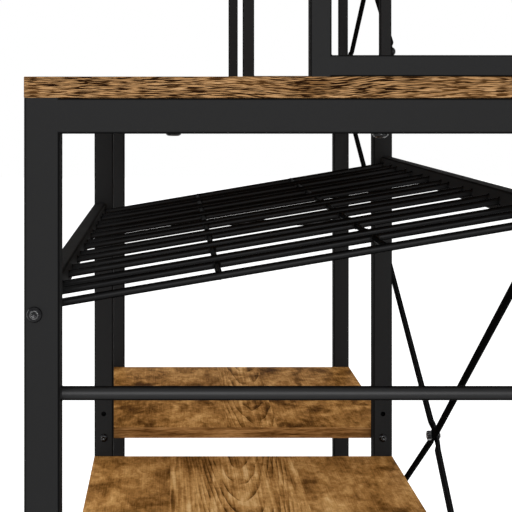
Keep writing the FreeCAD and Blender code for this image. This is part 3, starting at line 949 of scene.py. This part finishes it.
# Button-head socket bolts: blackened steel, with a domed head, a six-sided socket and a rolled
# shank. They hold the shelves, the bottle rack, the hutch and the braces.
bolt_head_reach = 0.0055
bolt_head_height = 0.0033
bolt_shank = 0.003
bolt_tip_chamfer = 0.0006
bolt_rim_chamfer = 0.0003
bolt_rim_depth = 0.92 * bolt_head_height
dome_depth = 0.8 * bolt_head_height
dome_start = 18
dome_steps = 6
socket_width = 0.004
socket_mouth = 0.0045
socket_chamfer = 0.0003
socket_lip = 0.0029
socket_depth = 0.0018
drill_mark = (0.0004, 0.0005)
surface_step = 0.00002
turned_sides = 48
oxide = (0.01, 0.01, 0.0106, 1)
# Bare steel on the rubbed rims, bright enough to be painted glints as well
bare_steel_and_glint = (0.3, 0.3, 0.3, 1)


def blackened(name, deep, bare_and_glint, roughness):
    """Blackened steel: dark oxide that is rubbed to bare metal on its rims, which are lightened further as
    painted glints.
    """
    material, tree, surface = new_material(name)
    surface["Metallic"].default_value = 0.85
    grain = placed_group(tree, pebble, {"Pebble size": 0.0004, "Cloud size": 0.004})
    edges = placed_group(tree, edge_line, {"Width": 0.0005})
    # Rubbed rims, lightened as painted glints as well
    rubbed_and_glinting = sums(tree, "MULTIPLY", edges["Mask"], grain["Cloud"])
    tree.links.new(blended(tree, rubbed_and_glinting, deep, bare_and_glint), surface["Base Color"])
    gloss = sums(tree, "MULTIPLY_ADD", grain["Cloud"], 0.2, roughness - 0.1)
    tree.links.new(gloss, surface["Roughness"])
    relief = shader_node(tree, "Bump", {
        "Height": grain["Height"], "Strength": 0.2, "Distance": 0.00003})
    tree.links.new(relief.outputs[0], surface["Normal"])
    return material


black_fastener = blackened("black_fastener", oxide, bare_steel_and_glint, roughness=0.2)


def lie_of(solid):
    """Where a bolt or screw lies: the middle of its head's top, its way in, and its length."""
    low, high = box_of(solid)
    size = high - low
    middle = (low + high) / 2
    axis = max(range(3), key=lambda side: size[side])
    across, rise = [side for side in range(3) if side != axis]
    reach = {}
    for end, level in ((-1, low[axis]), (1, high[axis])):
        rim = [point - middle for point in solid if abs(point[axis] - level) < bolt_search]
        reach[end] = max(math.hypot(off[across], off[rise]) for off in rim)
    outer = 1 if reach[1] > reach[-1] else -1
    way = Vector((0, 0, 0))
    way[axis] = -outer
    top = middle.copy()
    top[axis] = high[axis] if outer == 1 else low[axis]
    return top, way, size[axis]


def add_turned(shape, top, way, profile):
    """A turned piece: each step of its profile is a reach, even or by heading, and a depth from the top."""
    across, rise = basis(way)
    rings = []
    for reach, depth in profile:
        ring = []
        for side in range(turned_sides):
            turn = 2 * math.pi * side / turned_sides
            out = across * math.cos(turn) + rise * math.sin(turn)
            ring.append(top + way * depth + out * (reach(turn) if callable(reach) else reach))
        rings.append(ring)
    add_loft(shape, rings)


def hexagon_edge(width):
    """How far a hexagon of this width reaches from its middle, heading by heading."""
    def reach(turn):
        off_flat = (turn + math.pi / 6) % (math.pi / 3) - math.pi / 6
        return width / 2 / math.cos(off_flat)
    return reach


def add_bolt(shape, top, way, length):
    """A button-head bolt with its socket, its dome, its rim and its shank."""
    mark_radius, mark_depth = drill_mark
    socket = hexagon_edge(socket_width)
    profile = [(mark_radius, socket_depth + mark_depth), (socket, socket_depth), (socket, socket_chamfer),
               (hexagon_edge(socket_mouth), 0), (socket_lip, surface_step)]
    for step in range(1, dome_steps + 1):
        turn = math.radians(dome_start + (90 - dome_start) * step / dome_steps)
        profile.append((bolt_head_reach * math.sin(turn), dome_depth * (1 - math.cos(turn))))
    profile += [(bolt_head_reach, bolt_rim_depth), (bolt_head_reach - bolt_rim_chamfer, bolt_head_height),
                (bolt_shank, bolt_head_height), (bolt_shank, length - bolt_tip_chamfer),
                (bolt_shank - bolt_tip_chamfer, length)]
    add_turned(shape, top, way, profile)


for group in ("shelf_bolts", "rack_bolts", "hutch_bolts", "brace_bolts"):
    shape = ([], [])
    for solid in solids_in(group):
        add_bolt(shape, *lie_of(solid))
    make_piece(group + "_turned", shape, black_fastener, [group])

# Nuts and bolts at the crossings of the braces, blackened steel: the same bolt through both rods,
# with a chamfered six-sided nut on the side of the shelves.
longest_nut = 0.01
nut_chamfer = 0.0007
nut_washer_face = 0.0003
nut_bore = bolt_shank - 0.0002
nut_bore_mouth = bolt_shank + 0.0004
nut_bore_depth = 0.0004
shape = ([], [])
for solid in solids_in("brace_centre_bolts"):
    low, high = box_of(solid)
    if high.y - low.y > longest_nut:
        add_bolt(shape, *lie_of(solid))
    else:
        middle = (low + high) / 2
        width = min(high.x - low.x, high.z - low.z)
        flats = hexagon_edge(width)
        profile = [(nut_bore, nut_bore_depth), (nut_bore_mouth, 0), (width / 2 - nut_washer_face, 0),
                   (width / 2, nut_chamfer / 4), (flats, nut_chamfer), (flats, high.y - low.y)]
        add_turned(shape, Vector((middle.x, low.y, middle.z)), inwards, profile)
make_piece("brace_centre_bolts_turned", shape, black_fastener, ["brace_centre_bolts"])

# Wafer-head screws: blackened steel, with a low pressed head, a cross recess and a pointed shank.
# They go up through the rails into the worktop and the hutch top.
wafer_reach = 0.0054
wafer_height = 0.0018
wafer_rim_chamfer = 0.0002
wafer_rim_depth = 0.0013
wafer_dome = ((0.0032, surface_step), (0.0043, 0.00025), (0.0050, 0.0007))
wafer_shank = 0.002
screw_point_run = 0.004
screw_point = 0.0003
recess_reach = 0.0024
recess_half = 0.0006
recess_depth = 0.0011
recess_floor_depth = 0.9 * recess_depth
recess_floor_share = 0.7


def recess_edge(share):
    """How far the cross recess reaches, heading by heading, at a share of its full size."""
    def reach(turn):
        a = max(abs(math.cos(turn)), 1e-6)
        b = max(abs(math.sin(turn)), 1e-6)
        one_arm = min(recess_reach / a, recess_half / b)
        other_arm = min(recess_half / a, recess_reach / b)
        return max(one_arm, other_arm) * share
    return reach


for group in ("worktop_screws", "hutch_top_screws"):
    shape = ([], [])
    for solid in solids_in(group):
        top, way, length = lie_of(solid)
        profile = [(screw_point, recess_depth), (recess_edge(recess_floor_share), recess_floor_depth),
                   (recess_edge(1), 0), *wafer_dome, (wafer_reach, wafer_rim_depth),
                   (wafer_reach - wafer_rim_chamfer, wafer_height), (wafer_shank, wafer_height),
                   (wafer_shank, length - screw_point_run), (screw_point, length)]
        add_turned(shape, top, way, profile)
    make_piece(group + "_turned", shape, black_fastener, [group])

# Threaded inserts in the boards, threaded blocks in the rack tubes and weld nuts in the posts:
# zinc-plated steel, hidden once the rack is together.
for node in ("shelf_inserts", "rack_tube_nuts", "weld_nuts"):
    dress(node, zinc_plate)

# Studio: a pale floor that takes the shadow, an even white surround, soft lamps and the camera at
# the height of the worktop, level and square to the end frame, with its lens shifted down.
floor_size = 24
floor_grey = (0.8, 0.8, 0.8, 1)
floor_glow = 0.6
white = (1, 1, 1, 1)
surround_light = 0.7
# Each lamp's place, what it aims at, its two sizes and its power
lamps = (
    ("key_lamp", (7.0, 0.4, 2.1), (0.2, 0, 0.7), (2.4, 4.0), 270),
    ("left_lamp", (5.2, -3.6, 2.2), (0.2, 0, 0.7), (1.6, 1.6), 45),
    ("top_lamp", (0.0, 0.0, 3.4), (0, 0, 0.8), (2.2, 2.2), 26),
    ("front_lamp", (-0.4, -3.0, 1.5), (-0.2, 0, 0.6), (1.6, 1.6), 26),
)


def seen_directly(tree):
    """One for rays that show the background itself, in the picture, a reflection or glass."""
    rays = shader_node(tree, "LightPath").outputs
    mirrored = sums(tree, "MAXIMUM", rays["Is Camera Ray"], rays["Is Glossy Ray"])
    return sums(tree, "MAXIMUM", mirrored, rays["Is Transmission Ray"])


bpy.ops.mesh.primitive_plane_add(size=floor_size, location=(0, 0, 0))
floor = bpy.context.object
floor.name = "studio_floor"
floor_finish, tree, surface = new_material("studio_floor")
surface["Base Color"].default_value = floor_grey
surface["Roughness"].default_value = 0.9
surface["Specular IOR Level"].default_value = 0.1
surface["Emission Color"].default_value = white
tree.links.new(sums(tree, "MULTIPLY", seen_directly(tree), floor_glow), surface["Emission Strength"])
floor.data.materials.append(floor_finish)

world = bpy.data.worlds.new("white_surround")
bpy.context.scene.world = world
world.use_nodes = True
tree = world.node_tree
background = tree.nodes["Background"].inputs
background["Color"].default_value = white
brightness = sums(tree, "MULTIPLY_ADD", seen_directly(tree), 1 - surround_light, surround_light)
tree.links.new(brightness, background["Strength"])

for name, place, aim, size, power in lamps:
    light = bpy.data.lights.new(name, "AREA")
    light.shape = "RECTANGLE"
    light.size, light.size_y = size
    light.energy = power
    lamp = put_in_scene(name, light)
    lamp.location = place
    lamp.rotation_euler = (Vector(aim) - Vector(place)).to_track_quat("-Z", "Y").to_euler()

lens = bpy.data.cameras.new("camera")
lens.lens = 85
lens.sensor_width = 36
lens.shift_x = 0.1664
lens.shift_y = -0.308
camera = put_in_scene("camera", lens)
camera.location = (1.443, -0.10945, 0.8848)
camera.rotation_euler = (math.radians(90), 0, math.radians(90))
bpy.context.scene.camera = camera
bpy.context.scene.view_settings.view_transform = "Standard"
